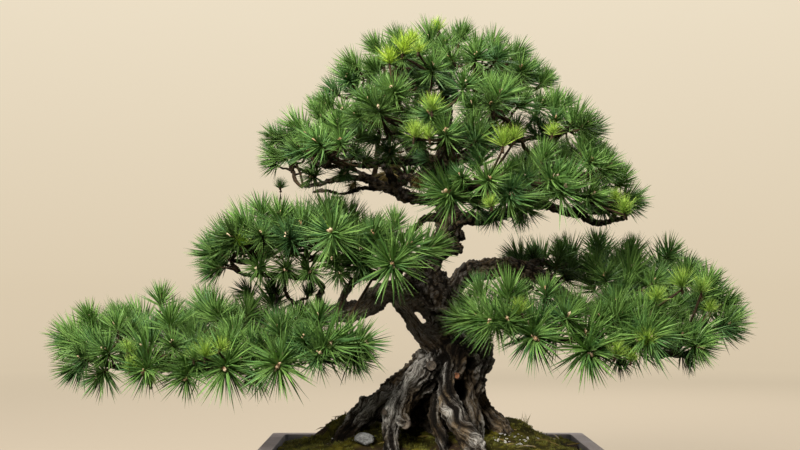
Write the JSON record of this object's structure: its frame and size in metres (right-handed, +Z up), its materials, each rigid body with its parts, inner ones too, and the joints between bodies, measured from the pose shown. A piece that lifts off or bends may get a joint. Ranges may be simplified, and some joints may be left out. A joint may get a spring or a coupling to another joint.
{
  "type": "japanese black pine bonsai",
  "caption": "Informal upright pine with a rooted, furrowed trunk, a domed crown and three low spreading pads of long needles, in a mossy mound in a shallow rectangular clay pot",
  "frame": {"origin": "the middle of the overall box, at the level of the surface that the pot's feet stand on", "axes": "+Z up; +X to the right along the pot's long side, seen from the tree's front; +Y from the front to the back"},
  "size_m": [0.9142, 0.4274, 0.6305],
  "materials": {
    "clay": "unglazed grey-brown clay, faintly mottled and matt",
    "soil": "damp soil under olive and yellow-green moss with bare brown patches",
    "bark": "weathered grey-brown bark, plated and furrowed, with pale twisted ridges on the roots and almost black creases",
    "stone": "pale grey pitted stone",
    "needles": "stiff waxy pine needles, mid green to dark green, with yellow-green new tips, brown twigs and cream buds"
  },
  "bodies": {
    "root": {"pot": "clay", "soil": "soil", "trunk": "bark", "stone": "stone", "crown_spray_01": "needles", "crown_spray_02": "needles", "crown_spray_03": "needles", "crown_spray_04": "needles", "crown_spray_05": "needles", "crown_spray_06": "needles", "crown_spray_07": "needles", "crown_spray_08": "needles", "crown_spray_09": "needles", "crown_spray_10": "needles", "crown_spray_11": "needles", "crown_spray_12": "needles", "crown_spray_13": "needles", "crown_spray_14": "needles", "crown_spray_15": "needles", "crown_spray_16": "needles", "crown_spray_17": "needles", "crown_spray_18": "needles", "crown_spray_19": "needles", "crown_spray_20": "needles", "crown_spray_21": "needles", "crown_spray_22": "needles", "crown_spray_23": "needles", "crown_spray_24": "needles", "left_middle_spray_01": "needles", "left_middle_spray_02": "needles", "left_middle_spray_03": "needles", "left_middle_spray_04": "needles", "left_middle_spray_05": "needles", "left_middle_spray_06": "needles", "left_middle_spray_07": "needles", "left_middle_spray_08": "needles", "left_low_spray_01": "needles", "left_low_spray_02": "needles", "left_low_spray_03": "needles", "left_low_spray_04": "needles", "left_low_spray_05": "needles", "left_low_spray_06": "needles", "left_low_spray_07": "needles", "left_low_spray_08": "needles", "left_low_spray_09": "needles", "left_low_spray_10": "needles", "left_low_spray_11": "needles", "right_spray_01": "needles", "right_spray_02": "needles", "right_spray_03": "needles", "right_spray_04": "needles", "right_spray_05": "needles", "right_spray_06": "needles", "right_spray_07": "needles", "right_spray_08": "needles", "right_spray_09": "needles", "right_spray_10": "needles", "right_spray_11": "needles", "right_spray_12": "needles", "right_spray_13": "needles"}
  },
  "joints": []
}
